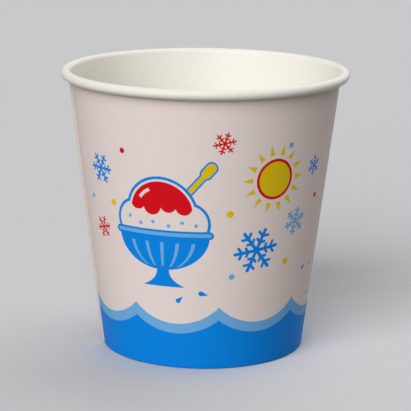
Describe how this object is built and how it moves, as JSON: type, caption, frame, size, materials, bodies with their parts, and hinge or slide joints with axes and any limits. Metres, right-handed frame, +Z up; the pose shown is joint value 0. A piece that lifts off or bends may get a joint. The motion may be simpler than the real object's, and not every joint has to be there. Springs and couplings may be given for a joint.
{
  "type": "paper ice cream cup",
  "caption": "Tapered paperboard cup with an outward rolled rim, a lapped side seam and a recessed base disc, for ice cream or shaved ice.",
  "frame": {"origin": "centre of the foot, on the plane the cup stands on", "axes": "+Z up along the cup's axis, -Y towards the front of the print, side seam near -X"},
  "size_m": [0.09, 0.09, 0.0883],
  "materials": {
    "printed_paperboard": "bleached paperboard with a satin film on both sides, printed outside",
    "plain_paperboard": "bleached paperboard with a satin film on the upper side"
  },
  "bodies": {
    "root": {"side_wall": "printed_paperboard", "base_disc": "plain_paperboard"}
  },
  "joints": []
}
